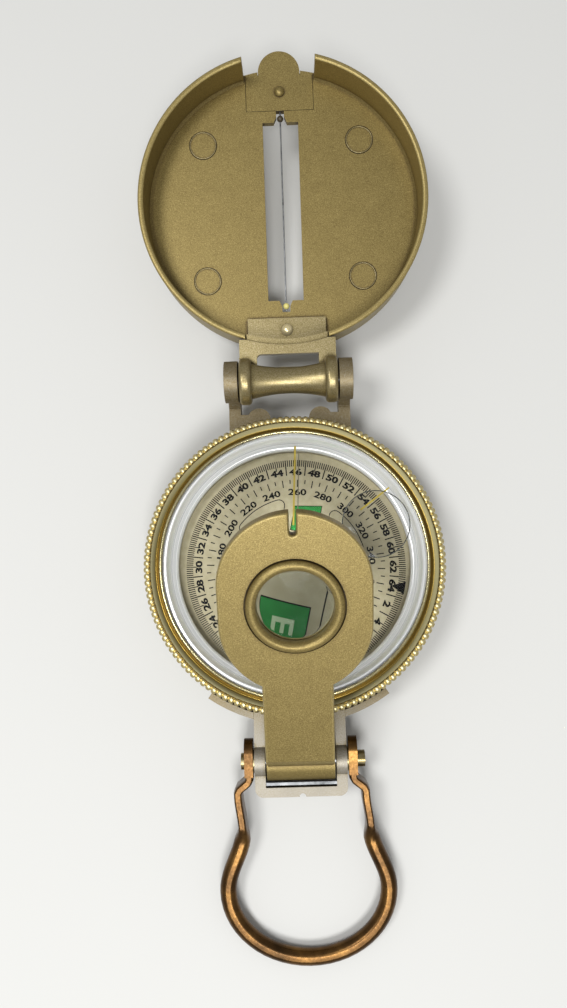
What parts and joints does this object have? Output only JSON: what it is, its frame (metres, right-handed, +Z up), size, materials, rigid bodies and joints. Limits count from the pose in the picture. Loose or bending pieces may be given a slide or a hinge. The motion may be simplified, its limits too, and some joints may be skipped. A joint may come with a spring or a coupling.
{
  "type": "folding pocket compass",
  "caption": "Round metal pocket compass lying open: hinged cover with sighting wire, turning toothed bezel, floating dial, raised lens bracket and folding thumb loop.",
  "frame": {"origin": "centre of the case's flat base, on the table", "axes": "+Z up from the base; +Y towards the open cover; the thumb loop lies towards -Y; +X to the right when looking along +Y from above"},
  "size_m": [0.0566, 0.1766, 0.0411],
  "materials": {
    "case_paint": "satin, pale bronze",
    "bronze_paint": "satin, fine grain",
    "gold_bezel": "bright anodised",
    "steel": "brushed",
    "brass": "satin",
    "clear_glass": "clear",
    "dial_card": "matt",
    "capsule_plastic": "semi-gloss",
    "reflector": "bright silver",
    "gasket_rubber": "matt",
    "lume_paint": "luminous paint",
    "loop_copper": "browned, rubbed bright on the edges"
  },
  "bodies": {
    "case": {"case_body": "case_paint", "hinge_pin": "steel", "bracket_leaf_spring": "steel", "loop_washers": "brass", "capsule_cup": "capsule_plastic", "capsule_glass": "clear_glass", "capsule_gasket": "gasket_rubber", "reflector_ring": "reflector", "pivot_post": "brass", "bezel_snap_ring": "steel"},
    "cover": {"cover_shell": "bronze_paint", "cover_hinge_arm": "bronze_paint", "cover_tip_tab": "bronze_paint", "hinge_rivet": "brass", "tip_rivet": "brass", "sighting_wire": "steel", "lume_dots": "lume_paint"},
    "axle": {"bracket_axle": "steel", "axle_screws": "brass"},
    "bracket": {"lens_bracket": "bronze_paint", "sighting_lens": "clear_glass", "lens_retaining_ring": "bronze_paint"},
    "loop": {"thumb_loop": "loop_copper"},
    "bezel": {"bezel_ring": "gold_bezel", "bezel_crystal": "clear_glass", "crystal_retaining_ring": "steel", "bezel_magnifier": "clear_glass"},
    "dial": {"dial_card": "dial_card", "compass_magnet": "steel", "jewel_cap": "brass"}
  },
  "joints": [
    {"name": "cover_hinge", "type": "hinge", "parent": "case", "child": "cover", "pos_m": [0, 0.03515, 0.0138], "axis": [1, 0, 0], "range_deg": [0, 168]},
    {"name": "bracket_press", "type": "hinge", "parent": "case", "child": "axle", "pos_m": [0, -0.0363, 0.0065], "axis": [1, 0, 0], "range_deg": [-28, 0]},
    {"name": "bracket_swing", "type": "hinge", "parent": "axle", "child": "bracket", "pos_m": [0, -0.0363, 0.0065], "axis": [1, 0, 0], "range_deg": [-28, 62]},
    {"name": "thumb_loop_swing", "type": "hinge", "parent": "case", "child": "loop", "pos_m": [0, -0.0363, 0.0065], "axis": [-1, 0, 0], "range_deg": [0, 120]},
    {"name": "bezel_turn", "type": "hinge", "parent": "case", "child": "bezel", "pos_m": [0, 0, 0.0087], "axis": [0, 0, 1], "continuous": true},
    {"name": "dial_swing", "type": "hinge", "parent": "case", "child": "dial", "pos_m": [0, 0, 0.00777], "axis": [0, 0, 1], "continuous": true}
  ],
  "couplings": [
    {"joint": "bracket_press", "follows": "cover_hinge", "ratio": -0.16667}
  ]
}
